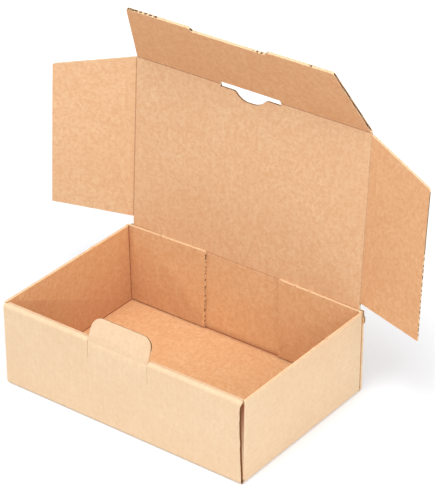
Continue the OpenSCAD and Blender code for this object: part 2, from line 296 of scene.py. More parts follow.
def paper(name, colour, pitch, washboard, mottle, specks, bump, rough=0.9):
    """Uncoated kraft paper: long fibres across the flutes, cloudy formation, dark specks
    and the faint ribs of the flutes glued under it. Patterns run on the flat blank, in
    millimetres, so they follow the board round its folds."""
    material = bpy.data.materials.new(name)
    tree = blank_tree(material)
    flat = add(tree, "ShaderNodeAttribute", attribute_name=FLAT, attribute_type="GEOMETRY")
    crease = add(tree, "ShaderNodeAttribute", attribute_name=CREASE_SHADE, attribute_type="GEOMETRY")
    place = flat.outputs["Vector"]
    # Fibres are 1 to 3 mm long and 0.03 mm wide, drawn 0.4 mm wide so that they show
    stretched = add(tree, "ShaderNodeMapping", {"Vector": place, "Scale": (0.45, 2.4, 1.0)})
    fibres = noise(tree, stretched.outputs["Vector"], 1.0, 4.0, 0.62, 0.6)
    # Cloudy formation of the sheet, about 9 mm, and flocks of fibre, about 3 mm
    clouds = noise(tree, place, 0.11, 3.0, 0.55)
    flocks = noise(tree, place, 0.28, 4.0, 0.65)
    # Broad patches from handling and damp, about 70 mm
    patches = noise(tree, place, 0.014, 1.0, 0.5)
    # Ribs of the flutes, one to each pitch, wandering a little
    split = add(tree, "ShaderNodeSeparateXYZ", {"Vector": place})
    drift = maths(tree, "MULTIPLY", patches, 5.0)
    along = maths(tree, "MULTIPLY_ADD", split.outputs["X"], 2 * math.pi / (pitch / MM), drift)
    rib = ranged(tree, maths(tree, "COSINE", along), -1.0, 1.0)
    seen_rib = maths(tree, "MULTIPLY", rib, clouds)
    # Dark shives, fine bits of bark of about 0.5 mm, some 20 mm apart
    bits = add(tree, "ShaderNodeTexVoronoi", {"Vector": stretched.outputs["Vector"], "Scale": 0.32})
    bit = ranged(tree, bits.outputs["Distance"], 0.03, 0.09, 1.0, 0.0)
    shive = maths(tree, "MULTIPLY", bit, maths(tree, "GREATER_THAN", bits.outputs["Color"], 0.62))
    # Each layer has a share, a pattern, a tint, and the pattern's middle and spread. The last
    # is painted shade from the crease attribute, along creases and in the gap at the front's right
    # end.
    tone = paint(tinted(colour, 1.03))
    for share, pattern, tint, middle, spread in (
            (0.75, patches, 1 - 0.05 * mottle, 0.5, 0.3),
            (0.55 * mottle, clouds, 0.91, 0.55, 0.2),
            (0.6 * mottle, flocks, 0.86, 0.54, 0.1),
            (0.6 * mottle, fibres, 0.86, 0.57, 0.14),
            (washboard, seen_rib, 0.86, 0.33, 0.25),
            (specks, shive, 0.62, 0.5, 0.5),
            (0.95, crease.outputs["Fac"], 0.24, 0.5, 0.5)):
        strength = ranged(tree, pattern, middle - spread, middle + spread, 0.0, share)
        tone = toned(tree, strength, tone, tinted(colour, tint))
    # Relief: ribs of 0.05 mm, fibres of 0.02 mm
    rib_relief = add(tree, "ShaderNodeBump", {
        "Height": rib, "Strength": min(1.0, 2.2 * washboard), "Distance": 0.06 * MM})
    relief = add(tree, "ShaderNodeBump", {
        "Height": fibres, "Strength": bump, "Distance": 0.05 * MM,
        "Normal": rib_relief.outputs["Normal"]})
    worn = ranged(tree, fibres, 0.3, 0.7, rough - 0.05, min(1.0, rough + 0.06))
    shader = add(tree, "ShaderNodeBsdfPrincipled", {
        "Base Color": tone, "Roughness": worn, "IOR": 1.5,
        "Specular IOR Level": 0.22, "Normal": relief.outputs["Normal"]})
    add(tree, "ShaderNodeOutputMaterial", {"Surface": shader.outputs["BSDF"]})
    return material


def cut_edge_paper(name, colour):
    """Edge of the board where the steel rule crushed it: short, torn, paler fibres"""
    material = bpy.data.materials.new(name)
    tree = blank_tree(material)
    flat = add(tree, "ShaderNodeAttribute", attribute_name=FLAT, attribute_type="GEOMETRY")
    # Tufts of fibre about 0.7 mm across, and bruised spots some 8 mm apart
    tufts = noise(tree, flat.outputs["Vector"], 1.4, 4.0, 0.7)
    darkening = noise(tree, flat.outputs["Vector"], 0.13, 2.0, 0.6)
    dark = ranged(tree, tufts, 0.45, 0.72, 0.0, 0.6)
    tone = toned(tree, dark, paint(colour), tinted(colour, 0.78))
    bruised = ranged(tree, darkening, 0.5, 0.75, 0.0, 0.6)
    tone = toned(tree, bruised, tone, tinted(colour, 0.84))
    relief = add(tree, "ShaderNodeBump", {
        "Height": tufts, "Strength": 0.6, "Distance": 0.15 * MM})
    shader = add(tree, "ShaderNodeBsdfPrincipled", {
        "Base Color": tone, "Roughness": 0.95, "IOR": 1.5,
        "Specular IOR Level": 0.15, "Normal": relief.outputs["Normal"]})
    add(tree, "ShaderNodeOutputMaterial", {"Surface": shader.outputs["BSDF"]})
    return material


def finishes():
    """The four papers of the board, in the order of its slots"""
    names = ("kraft_outer_liner", "kraft_inner_liner", "fluting_medium", "die_cut_edge")
    if names[0] not in bpy.data.materials:
        board = bpy.context.scene.mailer_board
        papers = bpy.context.scene.mailer_paper
        paper(names[0], papers.outer, board.pitch, 0.07, 0.4, 0.4, 0.25)
        # The tray's and the flaps' liners are shaded copies of the inner liner: painted shade
        for name, colour in ((names[1], papers.inner), (TRAY_SHADED_LINER, papers.tray),
                             (FLAP_SHADED_LINER, papers.flaps)):
            paper(name, colour, board.pitch, 0.12, 1.5, 0.5, 0.3)
        paper(names[2], papers.medium, board.pitch, 0.0, 1.0, 0.3, 0.5, 0.93)
        cut_edge_paper(names[3], papers.edge)
    return [bpy.data.materials[name] for name in names]


class BentPath:
    """Line through the middle of a folded board: straight runs joined by round folds"""

    def __init__(self, corners, radii):
        points = [Vector(corner) for corner in corners]
        self.parts = []
        self.length = 0.0
        start = points[0]
        for i in range(1, len(points)):
            way = (points[i] - points[i - 1]).normalized()
            angle = math.atan2(way.y, way.x)
            if i == len(points) - 1:
                self.add_part(start, angle, (points[i] - start).length, 0.0)
                break
            after = (points[i + 1] - points[i]).normalized()
            turn = math.atan2(way.x * after.y - way.y * after.x, way.dot(after))
            tangent = radii[i - 1] * math.tan(abs(turn) / 2)
            self.add_part(start, angle, (points[i] - start).length - tangent, 0.0)
            curve = math.copysign(1 / radii[i - 1], turn)
            self.add_part(points[i] - way * tangent, angle, abs(turn) * radii[i - 1], curve)
            start = points[i] + after * tangent

    def add_part(self, start, angle, length, curve):
        self.parts.append((self.length, start, angle, length, curve))
        self.length += length

    def at(self, s, h):
        """Point at length s, moved h to the left of the path"""
        for part in reversed(self.parts):
            if s >= part[0]:
                break
        begin, start, angle, _, curve = part
        ahead = s - begin
        if curve:
            turned = angle + curve * ahead
            x = start.x + (math.sin(turned) - math.sin(angle)) / curve
            y = start.y - (math.cos(turned) - math.cos(angle)) / curve
            angle = turned
        else:
            x = start.x + math.cos(angle) * ahead
            y = start.y + math.sin(angle) * ahead
        return x - math.sin(angle) * h, y + math.cos(angle) * h

    def run(self, index):
        """Lengths at which the straight run of that number starts and ends"""
        part = self.parts[2 * index]
        return part[0], part[0] + part[3]

    def stations(self, steps=6, margin=0.6 * MM):
        """Lengths at which the board is cut so that it can bend"""
        cuts = []
        for begin, _, _, length, curve in self.parts:
            if curve:
                cuts += [begin - margin, begin + length + margin]
                cuts += [begin + length * i / steps for i in range(steps + 1)]
        return cuts


def roughen(shape, step, amount, smooth_from, dice):
    """Splits the long edges of a flat outline and lets the points wander inwards"""
    rough = [edge for edge in shape.edges if not smooth_from(edge)]
    for edge in rough:
        cuts = int(edge.calc_length() / step)
        if cuts:
            bmesh.ops.subdivide_edges(shape, edges=[edge], cuts=cuts)
    shape.verts.ensure_lookup_table()
    for vert in shape.verts:
        links = vert.link_edges
        if len(links) != 2:
            continue
        ways = [(edge.other_vert(vert).co - vert.co).normalized() for edge in links]
        if ways[0].dot(ways[1]) > -0.999 or any(smooth_from(edge) for edge in links):
            continue
        side = Vector((-ways[0].y, ways[0].x, 0))
        vert.co += side * dice.uniform(-0.5, 0.5) * amount


def outline_block(corners, low, high, dice=None, smooth_from=None):
    """Block cut to an outline. A corner is (x, y) or (x, y, radius)."""
    block = bmesh.new()
    verts = [block.verts.new((corner[0], corner[1], low)) for corner in corners]
    block.faces.new(verts)
    for vert, corner in zip(verts, corners):
        if len(corner) < 3 or corner[2] <= 0:
            continue
        ways = [(edge.other_vert(vert).co - vert.co).normalized() for edge in vert.link_edges]
        half = ways[0].angle(ways[1]) / 2
        bmesh.ops.bevel(block, geom=[vert], offset=corner[2] / math.tan(half),
                        offset_type="OFFSET", segments=7, profile=0.5,
                        affect="VERTICES", material=-1)
    if dice:
        amount = bpy.context.scene.mailer_board.roughness
        roughen(block, 5 * MM, amount, smooth_from or (lambda edge: False), dice)
    raised = bmesh.ops.extrude_face_region(block, geom=block.faces[:])["geom"]
    bmesh.ops.translate(block, vec=(0, 0, high - low),
                        verts=[g for g in raised if isinstance(g, bmesh.types.BMVert)])
    bmesh.ops.recalc_face_normals(block, faces=block.faces)
    for face in block.faces:
        face.material_index = CUT_EDGE
    return block


def brick(target, low, high, slot):
    """Adds a box from corner to corner to a bmesh"""
    made = bmesh.ops.create_cube(target, size=1.0)["verts"]
    size = Vector(high) - Vector(low)
    centre = (Vector(high) + Vector(low)) / 2
    bmesh.ops.scale(target, vec=size, verts=made)
    bmesh.ops.translate(target, vec=centre, verts=made)
    for face in {face for vert in made for face in vert.link_faces}:
        face.material_index = slot


def temporary(name, shape):
    """Puts a bmesh on an object of its own, with the board's four finishes"""
    mesh = bpy.data.meshes.new(name)
    shape.to_mesh(mesh)
    shape.free()
    for material in finishes():
        mesh.materials.append(material)
    made = bpy.data.objects.new(name, mesh)
    bpy.context.scene.collection.objects.link(made)
    return made


def drop(*objects):
    for thing in objects:
        mesh = thing.data
        bpy.data.objects.remove(thing)
        bpy.data.meshes.remove(mesh)


def boolean(target, tool, operation):
    """Cuts one object by another, takes the result as a bmesh and drops both"""
    cut = target.modifiers.new("cut", "BOOLEAN")
    cut.object = tool
    cut.operation = operation
    cut.solver = "MANIFOLD"
    graph = bpy.context.evaluated_depsgraph_get()
    mesh = bpy.data.meshes.new_from_object(target.evaluated_get(graph))
    result = bmesh.new()
    result.from_mesh(mesh)
    bpy.data.meshes.remove(mesh)
    drop(target, tool)
    if not result.faces:
        raise RuntimeError("a board came out empty")
    return result


def raw_board(low, high, crushed, phase):
    """Sheet of corrugated board that covers the box from low to high, flutes along Y.
    crushed lists boxes (x0, x1, y0, y1) where the medium is pressed flat and solid."""
    board = bpy.context.scene.mailer_board
    half = board.thickness / 2
    spare = 0.02 * MM
    sheet = bmesh.new()
    brick(sheet, (low[0], low[1], -half), (high[0], high[1], -half + board.liner), OUTER)
    brick(sheet, (low[0], low[1], half - board.liner), (high[0], high[1], half), INNER)
    # The backs of both liners take the darker medium paper: painted shade for where they show in
    # hollows and open flutes
    for face in sheet.faces:
        if abs(face.calc_center_median().z) < half - board.liner + 1e-6:
            if abs(face.normal.z) > 0.5:
                face.material_index = MEDIUM
    bmesh.ops.recalc_face_normals(sheet, faces=sheet.faces)
    steps = 6
    count = max(steps, int((high[0] - low[0]) / board.pitch * steps))
    fluting = bmesh.new()
    bmesh.ops.create_grid(fluting, x_segments=count, y_segments=1, size=0.5)
    bmesh.ops.scale(fluting, vec=(high[0] - low[0], high[1] - low[1], 1), verts=fluting.verts)
    bmesh.ops.translate(
        fluting, vec=((low[0] + high[0]) / 2, (low[1] + high[1]) / 2, 0), verts=fluting.verts)
    swing = half - board.liner - board.medium / 2 - spare
    for vert in fluting.verts:
        vert.co.z = swing * math.sin(2 * math.pi * vert.co.x / board.pitch + phase)
    bmesh.ops.solidify(fluting, geom=fluting.faces[:], thickness=board.medium)
    bmesh.ops.translate(fluting, vec=(0, 0, -mean_height(fluting)), verts=fluting.verts)
    bmesh.ops.recalc_face_normals(fluting, faces=fluting.faces)
    for face in fluting.faces:
        face.material_index = MEDIUM
    if not crushed or crushed[0] != "all":
        copy_into(sheet, fluting)
    fluting.free()
    for box in crushed:
        if box == "all":
            box = (low[0], high[0], low[1], high[1])
        brick(sheet, (box[0], box[2], -half + board.liner + spare / 2),
              (box[1], box[3], half - board.liner - spare / 2), CUT_EDGE)
    return temporary("raw_board", sheet)


def mean_height(shape):
    heights = [vert.co.z for vert in shape.verts]
    return (max(heights) + min(heights)) / 2


def copy_into(target, source):
    """Adds a copy of one bmesh to another"""
    mesh = bpy.data.meshes.new("copy")
    source.to_mesh(mesh)
    target.from_mesh(mesh)
    bpy.data.meshes.remove(mesh)


def cut_board(outline, holes=(), crushed=(), cuts_x=(), cuts_y=(), seed=1, smooth_from=None,
              hollows=()):
    """Flat piece of board cut to an outline, with holes, with lines where it can bend, and
    with hollows, boxes (x0, x1, y0, y1) where the medium is torn out"""
    dice = random.Random(seed)
    half = bpy.context.scene.mailer_board.thickness / 2
    xs = [corner[0] for corner in outline]
    ys = [corner[1] for corner in outline]
    spare = 3 * MM
    sheet = raw_board((min(xs) - spare, min(ys) - spare), (max(xs) + spare, max(ys) + spare),
                      crushed, dice.uniform(0, 2 * math.pi))
    tool = outline_block(outline, -2 * half, 2 * half, dice, smooth_from)
    cut = boolean(sheet, temporary("die", tool), "INTERSECT")
    inside = half - bpy.context.scene.mailer_board.liner - 0.01 * MM
    dies = [(hole, 2 * half) for hole in holes]
    dies += [([(x0, y0), (x1, y0), (x1, y1), (x0, y1)], inside) for x0, x1, y0, y1 in hollows]
    for corners, reach in dies:
        tool = outline_block(corners, -reach, reach)
        cut = boolean(temporary("sheet", cut), temporary("die", tool), "DIFFERENCE")
    for way, places in ((Vector((1, 0, 0)), cuts_x), (Vector((0, 1, 0)), cuts_y)):
        for place in sorted(places):
            everything = cut.verts[:] + cut.edges[:] + cut.faces[:]
            bmesh.ops.bisect_plane(cut, geom=everything, dist=1e-6, plane_co=way * place,
                                   plane_no=way)
    return cut


def folded_piece(name, cut, place, flip=False, dark=None, liner=None):
    """Folds a flat piece: place(x, y, h) gives the point where it belongs, and dark(x, y, h)
    how much painted shade the paper takes there, kept in the crease attribute"""
    flat = [vert.co.copy() for vert in cut.verts]
    darkening = [dark(*point) if dark else 0.0 for point in flat]
    for vert in cut.verts:
        vert.co = place(*vert.co)
    if flip:
        bmesh.ops.reverse_faces(cut, faces=cut.faces)
    for face in cut.faces:
        face.smooth = True
    made = temporary(name, cut)
    attribute = made.data.attributes.new(FLAT, "FLOAT_VECTOR", "POINT")
    attribute.data.foreach_set("vector", [c / MM for point in flat for c in point])
    attribute = made.data.attributes.new(CREASE_SHADE, "FLOAT", "POINT")
    attribute.data.foreach_set("value", darkening)
    if liner:
        made.data.materials[INNER] = bpy.data.materials[liner]
    made.data.set_sharp_from_angle(angle=math.radians(32))
    return made


def mirrored(corners):
    """The same corners on the left, in the order that closes the outline"""
    return [(-corner[0], *corner[1:]) for corner in reversed(corners)]


def band(side, near, far, shift=0.0):
    """Both ends of a band across the blank, on its right or left side, low end first"""
    return sorted((side * near + shift, side * far + shift))


def below(axis, limit):
    """Test for the edges of an outline that lie at a crease, where a cut stays smooth"""
    return lambda edge: all(vert.co[axis] < limit for vert in edge.verts)


def line(distance, width=0.5 * MM):
    """Strength of a soft line of that half width, by the distance from it"""
    return math.exp(-(distance / width) ** 2)


def lid_point(x, y, z):
    """Point of the lid's own frame: x across, y up from its crease, z into the box"""
    return LID_CREASE + ACROSS * x + LID_UP * y + LID_IN * z


class MAILER_OT_strip(bpy.types.Operator):
    """Back wall, floor, outer front wall with its tongue, and the layer rolled over inside it"""

    bl_idname = "mailer.strip"
    bl_label = "Front, floor and back"

    def execute(self, context):
        board = context.scene.mailer_board
        half = board.thickness / 2
        ply = board.thickness + board.layer_gap
        top = FRONT_TOP - half
        inner_y = FRONT_Y + 2 * ply
        start = (BACK_Y, LID_CREASE.z - LID_CREASE_REACH)
        base = [start, (BACK_Y, half), (FRONT_Y, half)]
        lean = Vector((math.sin(TONGUE_LEAN), math.cos(TONGUE_LEAN)))
        tip = Vector((FRONT_Y, top)) + lean * TONGUE_REACH
        main = BentPath(base + [(FRONT_Y, top), (inner_y, top), (inner_y, ply)],
                        [board.fold] * 4)
        tongue = BentPath(base + [(FRONT_Y, top), tuple(tip)],
                          [board.fold, board.fold, TONGUE_BEND])

        back_end = main.run(0)[1]
        floor_from, floor_to = main.run(1)
        front_from, front_to = main.run(2)
        slit = front_to - (top - board.fold - (FRONT_TOP - SLIT_LONG))
        inner_from, end = main.run(4)
        inner_depth = TONGUE_LONG - 2 * ply
        opening = inner_from + (top - board.fold) - (FRONT_TOP - inner_depth)
        tip_flat = opening - SLIT_WIDE
        stretch = (tongue.length - slit) / (tip_flat - slit)
        layer_half = WALL_X + half - board.thickness - board.layer_gap
        floor_half = WALL_X - board.fold
        turn = main.run(3)[0] - 0.3 * MM

        def back_at(z):
            return start[1] - z

        def front_at(z):
            return front_from + z - half - board.fold

        # The back wall's cut ends stand proud only at the top
        tucked_in = 152.2 * MM
        proud = min(BACK_HALF, 153.8 * MM)
        low = [
            (tucked_in, 0), (tucked_in, back_at(91 * MM)), (proud, back_at(89 * MM)),
            (proud, back_at(83 * MM)), (tucked_in, back_at(82 * MM)),
            (tucked_in, back_end), (tucked_in, floor_from),
            (floor_half, floor_from), (floor_half, floor_to), (FRONT_HALF, floor_to)]
        high = [(FRONT_HALF, turn), (layer_half, turn), (layer_half, end)]
        # The front wall's right end was torn back along a flute, more so towards the top
        dice = random.Random(5)
        torn = []
        for z in range(12, 90, 6):
            back = TORN_BACK * math.sin(math.pi / 2 * (z - 8) / 80) + dice.uniform(-0.3, 0.3)
            torn.append((FRONT_HALF - back * MM, front_at(z * MM)))
        torn.append((FRONT_HALF - 1.6 * MM, front_at(91 * MM)))
        torn.append((FRONT_HALF - 0.3 * MM, front_at(93.5 * MM)))
        outline = low + torn + high + mirrored(low + high)
        wide = TONGUE_HALF + SLIT_WIDE
        u_slit = [
            (-wide, slit), (-wide, opening, TONGUE_ROUND), (wide, opening, TONGUE_ROUND),
            (wide, slit), (TONGUE_HALF, slit), (TONGUE_HALF, tip_flat, TONGUE_ROUND),
            (-TONGUE_HALF, tip_flat, TONGUE_ROUND), (-TONGUE_HALF, slit)]
        u_slit = [(corner[0] + TONGUE_SHIFT, *corner[1:]) for corner in u_slit]

        spare = 1 * MM
        crushed = [(-FRONT_HALF - spare, -FRONT_HALF + CRUSH, floor_to, turn)]
        for side in (-1, 1):
            crushed += [
                (*band(side, tucked_in - CRUSH, tucked_in + spare), back_at(82 * MM), floor_from),
                (*band(side, layer_half - CRUSH, layer_half + spare), turn, end),
                (*band(side, TONGUE_HALF - CRUSH, TONGUE_HALF - 0.1 * MM, TONGUE_SHIFT),
                 slit, tip_flat - TONGUE_ROUND),
                (*band(side, wide + CRUSH, wide + 0.1 * MM, TONGUE_SHIFT),
                 slit, opening - TONGUE_ROUND)]

        tongue_stations = []
        for station in tongue.stations(5):
            if station > slit:
                tongue_stations.append(slit + (station - slit) / stretch)
        hollow = (FRONT_HALF - 6 * MM, FRONT_HALF + 1 * MM, floor_to + 1 * MM, turn - 3 * MM)
        cut = cut_board(outline, [u_slit], crushed, (), main.stations() + tongue_stations,
                        seed=11, smooth_from=below(1, 1e-6),
                        hollows=[hollow])
        # The torn end kept no pale fibres; its darker medium paper also paints shade into the deep
        # gap there
        for face in cut.faces:
            middle = face.calc_center_median()
            if middle.x > hollow[0] - 0.1 * MM and hollow[2] - 1 * MM < middle.y < turn:
                if face.material_index == CUT_EDGE:
                    face.material_index = MEDIUM
        round_x = TONGUE_HALF + SLIT_WIDE / 2 - TONGUE_ROUND
        round_y = tip_flat + SLIT_WIDE / 2 - TONGUE_ROUND

        def on_tongue(x, y):
            """True inside the line that runs along the middle of the slit"""
            across = abs(x - TONGUE_SHIFT) - round_x
            if y <= slit:
                return False
            if across <= 0 or y <= round_y:
                return across < TONGUE_ROUND and y < round_y + TONGUE_ROUND
            return math.hypot(across, y - round_y) < TONGUE_ROUND

        def place(x, y, h):
            if on_tongue(x, y):
                along, up = tongue.at(slit + (y - slit) * stretch, -h)
            else:
                along, up = main.at(y, -h)
            return Vector((x, along, up))

        bends = [main.parts[i][0] + main.parts[i][3] / 2 for i in (1, 3)]

        def dark(x, y, h):
            # Painted shade along the inner creases of the floor's folds up to the back and front
            # walls
            if h > 0:
                return max(line(y - bend, 2.2 * MM) for bend in bends)
            # On the outside, the tongue above the front wall and the roll-over's top are slightly
            # darker
            if on_tongue(x, y):
                return 0.1 if y > front_to else 0.0
            return 0.2 if main.run(3)[0] < y < main.run(3)[1] else 0.0

        # The tray's inner liner is its shaded copy: painted shade
        strip = folded_piece("tray_strip", cut, place, dark=dark, liner=TRAY_SHADED_LINER)
        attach(strip, "tray")
        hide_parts("tray")
        return {"FINISHED"}


class MAILER_OT_sides(bpy.types.Operator):
    """Both side walls, each folded up from the floor and round into its two corner flaps"""

    bl_idname = "mailer.sides"
    bl_label = "Side walls and corner flaps"

    def execute(self, context):
        board = context.scene.mailer_board
        half = board.thickness / 2
        ply = board.thickness + board.layer_gap
        front_y = FRONT_Y + ply
        back_y = BACK_Y - ply
        plan = BentPath(
            [(FLAP_END, front_y), (WALL_X, front_y), (WALL_X, back_y), (FLAP_END, back_y)],
            [board.fold] * 2)
        rise = BentPath(
            [(WALL_X - board.fold, half), (WALL_X, half), (WALL_X, SIDE_TOP)], [board.fold])
        # Height at which the wall's flat coordinate starts
        lift = half + board.fold - rise.parts[1][3]
        rise_end = half + board.fold
        front_flap = plan.run(0)[1]
        wall_from, wall_to = plan.run(1)
        back_flap = plan.run(2)[0]
        end = plan.length
        turn = (front_flap + wall_from) / 2
        tab = 3.6 * MM
        foot = rise_end + 0.3 * MM
        under = rise_end + 0.1 * MM
        front_top = FRONT_TOP - ply
        slope = BACK_FLAP_TOP - BACK_FLAP_FALL

        def flap_top(y):
            return slope + BACK_FLAP_FALL * (y - back_flap) / (end - back_flap)

        bends = [plan.parts[i][0] + plan.parts[i][3] / 2 for i in (1, 3)]
        rise_bend = lift + rise.parts[1][3] / 2

        def dark(x, y, h, side):
            if h < 0:
                # Painted shade on the fold inside the gap at the front's right end, wider towards
                # the top
                if side < 0 or x < 8 * MM or x > 95 * MM:
                    return 0.0
                along = (y - front_flap) / (wall_from - front_flap)
                gap = 0.42 + 0.45 * x / (90 * MM)
                return min(1.0, max(0.0, 6 * (gap - along) + 0.5)) if along < 0.96 else 0.0
            # Painted shade along the inner creases of the floor fold and both corner folds
            return max(line(x - rise_bend, 2.2 * MM),
                       *(line(y - bend, 1.7 * MM) for bend in bends))

        # The left wall leans out, and its back flap was cut on a slant
        for side, seed, slant, lean, flap_nicks in (
                (1, 23, 0.0, 0.0, (62 * MM, 79 * MM)), (-1, 37, 3.5 * MM, 2 * MM, (45 * MM,))):
            flap_nick = NICK * (1.0 if side > 0 else 1.4)
            outline = [
                (front_top, 0), (front_top, turn), (SIDE_TOP, turn),
                *nicked(SIDE_TOP, wall_from + 115.5 * MM, NICK),
                *nicked(SIDE_TOP, wall_from + 139 * MM, NICK),
                (SIDE_TOP, wall_to), (slope, wall_to), (slope, back_flap)]
            for place in flap_nicks:
                outline += nicked(flap_top(back_flap + place), back_flap + place, flap_nick)
            outline += [
                (BACK_FLAP_TOP, end + slant), (FLAP_FOOT, end - 0.15 * slant),
                (FLAP_FOOT, back_flap),
                (foot, back_flap), (foot, wall_to), (under, wall_to), (under, wall_to + tab),
                (lift, wall_to + tab), (lift, wall_from - tab), (under, wall_from - tab),
                (under, wall_from), (foot, wall_from), (foot, front_flap),
                (FLAP_FOOT, front_flap), (FLAP_FOOT, 0)]
            spare = 2 * MM
            crushed = [
                (front_top - CRUSH, front_top + spare, 0, turn),
                (SIDE_TOP - CRUSH, SIDE_TOP + spare, turn, wall_to),
                (slope - CRUSH, slope + spare, wall_to + 0.02 * MM, back_flap - 0.02 * MM),
                (slope - CRUSH, BACK_FLAP_TOP + spare, back_flap, end + slant + 1 * MM),
                (FLAP_FOOT - spare, FLAP_FOOT + CRUSH, 0, front_flap),
                (FLAP_FOOT - spare, FLAP_FOOT + CRUSH, back_flap, end + slant)]
            dice = random.Random(seed + 2)
            low = FLAP_FOOT + CRUSH + 1 * MM
            while low < slope - 6 * MM:
                high = low + dice.uniform(2.5, 8) * MM
                crushed.append((low, high, end - CRUSH, end + slant + 1 * MM))
                low = high + dice.uniform(1.2, 3) * MM
            cuts_x = [lift + rise.parts[1][3] * i / 6 for i in range(1, 7)]
            cuts_x.append(rise_end + 0.6 * MM)
            cut = cut_board(outline, (), crushed, cuts_x, plan.stations(), seed=seed,
                            smooth_from=below(0, under + 1e-5))

            def place(x, y, h, side=side, lean=lean):
                if x < under + 1e-5:
                    across, up = rise.at(x - lift, h)
                    along = plan.at(wall_from, 0)[1] + (y - wall_from)
                else:
                    across, along = plan.at(y, h)
                    across += lean * (x - under) / (SIDE_TOP - under)
                    up = x
                return Vector((side * across, along, up))

            name = "tray_side_right" if side > 0 else "tray_side_left"
            # The tray's inner liner is its shaded copy: painted shade
            wall = folded_piece(name, cut, place, side < 0,
                                lambda x, y, h, side=side: dark(x, y, h, side), TRAY_SHADED_LINER)
            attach(wall, "tray")
            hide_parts("tray")
        return {"FINISHED"}


def nicked(level, middle, rise):
    """Points of the small tuft left where a nick held the blank in its sheet"""
    return [(level, middle - 1.1 * MM), (level + rise, middle - 0.6 * MM),
            (level + rise * 0.8, middle + 0.5 * MM), (level, middle + 0.9 * MM)]


class MAILER_OT_lid(bpy.types.Operator):
    """Lid panel with the slot and finger notch at its front crease"""

    bl_idname = "mailer.lid"
    bl_label = "Lid"

    def execute(self, context):
        side = HALF_LID - FLAP_CREASE_REACH
        corner = HALF_LID - 0.6 * MM
        low = LID_CREASE_REACH
        high = LID_LONG - FLAP_CREASE_REACH
        slot = LID_LONG - SLOT_IN_LID
        notch = LID_LONG - 12 * MM
        notched = [(SLOT_HALF, high), (SLOT_HALF, slot, 1 * MM), (19.5 * MM, slot, 6 * MM),
                   (11.7 * MM, notch, 18 * MM)]
        halves = {}
        for way, (first, last) in EAR_SPAN.items():
            halves[way] = [(corner, low), (corner, first - 0.4 * MM), (side, first - 0.2 * MM)]
            if last < high:
                halves[way] += [(side, last - 0.3 * MM), (corner, last - 0.1 * MM),
                                (corner, high)]
            else:
                halves[way].append((side, high))
            halves[way] += notched
        outline = halves[1] + mirrored(halves[-1])
        grid_x = [x * MM for x in range(-125, 126, 25)]
        grid_y = [y * MM for y in range(25, 185, 25)]
        at_creases = (lambda e: all(v.co.y < low + 1e-6 for v in e.verts)
                      or all(v.co.y > high - 1e-6 for v in e.verts)
                      or all(abs(v.co.x) > side - 1e-6 for v in e.verts))
        cut = cut_board(outline, (), (), grid_x, grid_y, seed=41, smooth_from=at_creases)
        bow = 0.5 * MM

        def place(x, y, h):
            swell = bow * (1 - (x / side) ** 2) * math.sin(math.pi * (y - low) / (high - low))
            return lid_point(x, y, h - HALF_BOARD + max(0.0, swell))

        lid = folded_piece("lid_panel", cut, place)
        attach(lid, "lid")
        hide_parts("lid")
        return {"FINISHED"}


class MAILER_OT_ears(bpy.types.Operator):
    """Both ear flaps of the lid, flutes along their creases"""

    bl_idname = "mailer.ears"
    bl_label = "Ear flaps"

    def execute(self, context):
        start = FLAP_CREASE_REACH
        share = start / EAR_LONG
        for side, fold, seed, node, body in (
                (-1, LEFT_FOLD, 53, "left_ear_flap", "left_ear"),
                (1, RIGHT_FOLD, 67, "right_ear_flap", "right_ear")):
            back, front = EAR_SPAN[side]
            back_tip, front_tip = EAR_TIP[side]
            outline = [
                (start, back + (back_tip - back) * share), (EAR_LONG, back_tip, 0.8 * MM),
                (EAR_LONG, front_tip, 0.8 * MM), (start, front + (front_tip - front) * share)]
            # The rule crushed the left ear's edge shut, and the right one's only in places
            edge = (EAR_LONG - CRUSH, EAR_LONG + 1 * MM)
            ends = back_tip + 2 * MM, front_tip - 2 * MM
            crushed = [(start - 1 * MM, EAR_LONG + 1 * MM, 0, ends[0]),
                       (start - 1 * MM, EAR_LONG + 1 * MM, ends[1], front + 2 * MM)]
            if side < 0:
                crushed.append((*edge, ends[0] + 0.02 * MM, ends[1] - 0.02 * MM))
            else:
                low = ends[0] + 0.1 * MM
                dice = random.Random(9)
                while low < ends[1] - 8 * MM:
                    high = low + dice.uniform(1.5, 5) * MM
                    if low < 0.62 * ends[1]:
                        crushed.append((*edge, low, high))
                    low = high + dice.uniform(2, 5) * MM
            grid_x = [x * MM for x in range(15, 91, 15)] + [EAR_LONG - 4 * MM]
            grid_y = [y * MM for y in range(25, 185, 25)]
            cut = cut_board(outline, (), crushed, grid_x, grid_y, seed=seed,
                            smooth_from=below(0, start + 1e-6))
            out = ACROSS * side * math.cos(fold) + LID_IN * math.sin(fold)
            inward = LID_IN * math.cos(fold) - ACROSS * side * math.sin(fold)
            root = lid_point(side * HALF_LID, 0, -HALF_BOARD)

            def place(x, y, h, root=root, out=out, inward=inward):
                # The free edge was pinched thin from the outside
                pinch = max(0.0, (x - EAR_LONG) / (4 * MM) + 1)
                h = HALF_BOARD - (HALF_BOARD - h) * (1 - 0.55 * pinch)
                curl = 0.8 * MM * (x / EAR_LONG) ** 2 * math.sin(math.pi * y / LID_LONG)
                return root + out * x + LID_UP * y + inward * (h + curl)

            # The right ear's inner liner is the browner shaded copy: painted shade
            ear = folded_piece(f"{node}_panel", cut, place, flip=side < 0,
                               liner=FLAP_SHADED_LINER if side > 0 else None)
            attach(ear, body)
            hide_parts(node)
        return {"FINISHED"}


